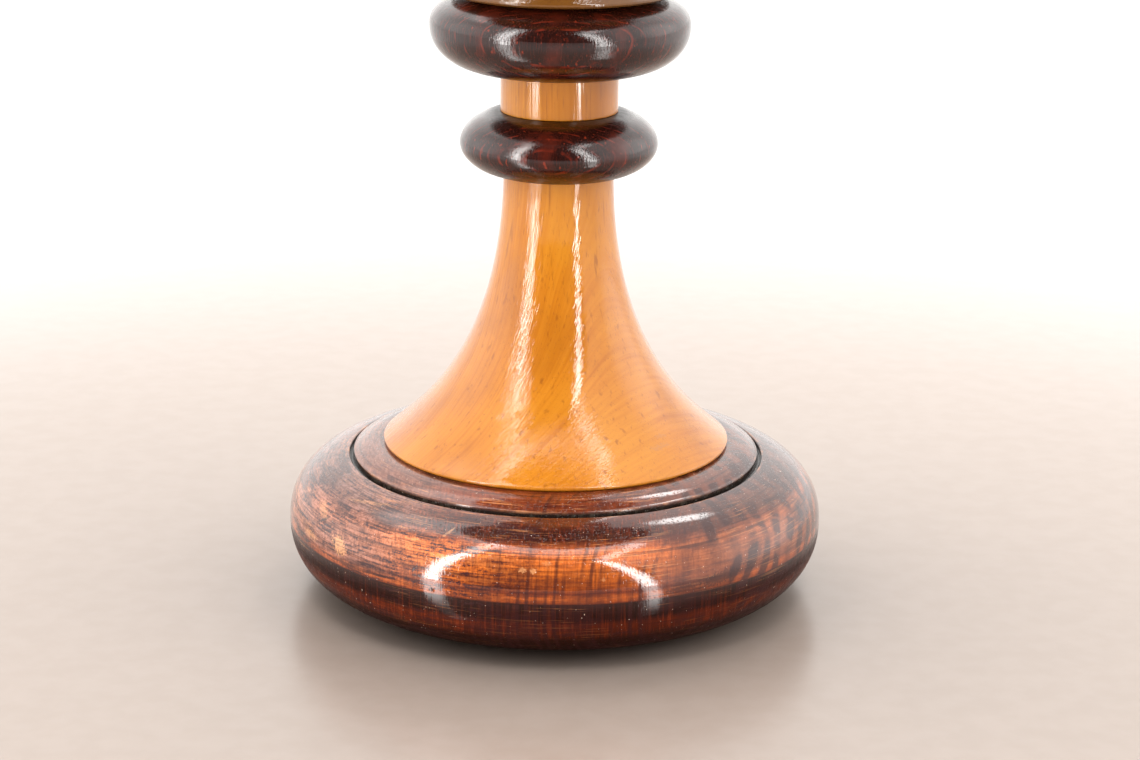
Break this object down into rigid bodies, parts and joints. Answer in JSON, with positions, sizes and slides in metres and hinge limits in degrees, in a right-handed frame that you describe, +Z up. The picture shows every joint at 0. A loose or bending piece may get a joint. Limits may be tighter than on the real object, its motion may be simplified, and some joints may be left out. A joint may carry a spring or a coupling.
{
  "type": "tilt top table",
  "caption": "Round dished table top that tips upright on a turned two-tone pedestal with a bun base, stacked rings and a sliding brass catch.",
  "frame": {"origin": "centre of the ring on the underside of the base that the table stands on", "axes": "+Z up along the pedestal; +X towards the catch, away from the hinge edge; the hinge runs along Y"},
  "size_m": [0.45, 0.45, 0.61],
  "materials": {
    "dark_wood": "gloss",
    "light_wood": "gloss",
    "steel": "satin",
    "brass": "satin"
  },
  "bodies": {
    "pedestal": {"base_bun": "dark_wood", "base_nut": "steel", "base_washer": "steel", "block_nut": "steel", "block_washer": "steel", "cap_ring": "dark_wood", "centre_ring": "dark_wood", "lower_collar": "light_wood", "lower_ring": "dark_wood", "lower_trumpet": "light_wood", "pivot_block": "dark_wood", "pivot_pin_back": "steel", "pivot_pin_front": "steel", "pivot_washer_back": "brass", "pivot_washer_front": "brass", "strike_plate": "brass", "strike_screws": "brass", "tie_rod": "steel", "upper_collar": "light_wood", "upper_ring": "dark_wood", "upper_trumpet": "light_wood"},
    "top": {"batten_back": "dark_wood", "batten_front": "dark_wood", "batten_screws": "brass", "catch_plate": "brass", "catch_screws": "brass", "field_board_1": "light_wood", "field_board_2": "light_wood", "field_board_3": "light_wood", "field_board_4": "light_wood", "field_board_5": "light_wood", "rim_segment_1": "dark_wood", "rim_segment_2": "dark_wood", "rim_segment_3": "dark_wood", "rim_segment_4": "dark_wood", "rim_segment_5": "dark_wood", "rim_segment_6": "dark_wood", "rim_segment_7": "dark_wood", "rim_segment_8": "dark_wood"},
    "bolt": {"catch_bolt": "brass", "catch_knob": "brass"}
  },
  "joints": [
    {"name": "top_tilt", "type": "hinge", "parent": "pedestal", "child": "top", "pos_m": [-0.0413, 0, 0.574], "axis": [0, -1, 0], "range_deg": [0, 90]},
    {"name": "bolt_slide", "type": "slide", "parent": "top", "child": "bolt", "axis": [-1, 0, 0], "range_m": [0, 0.012]}
  ]
}
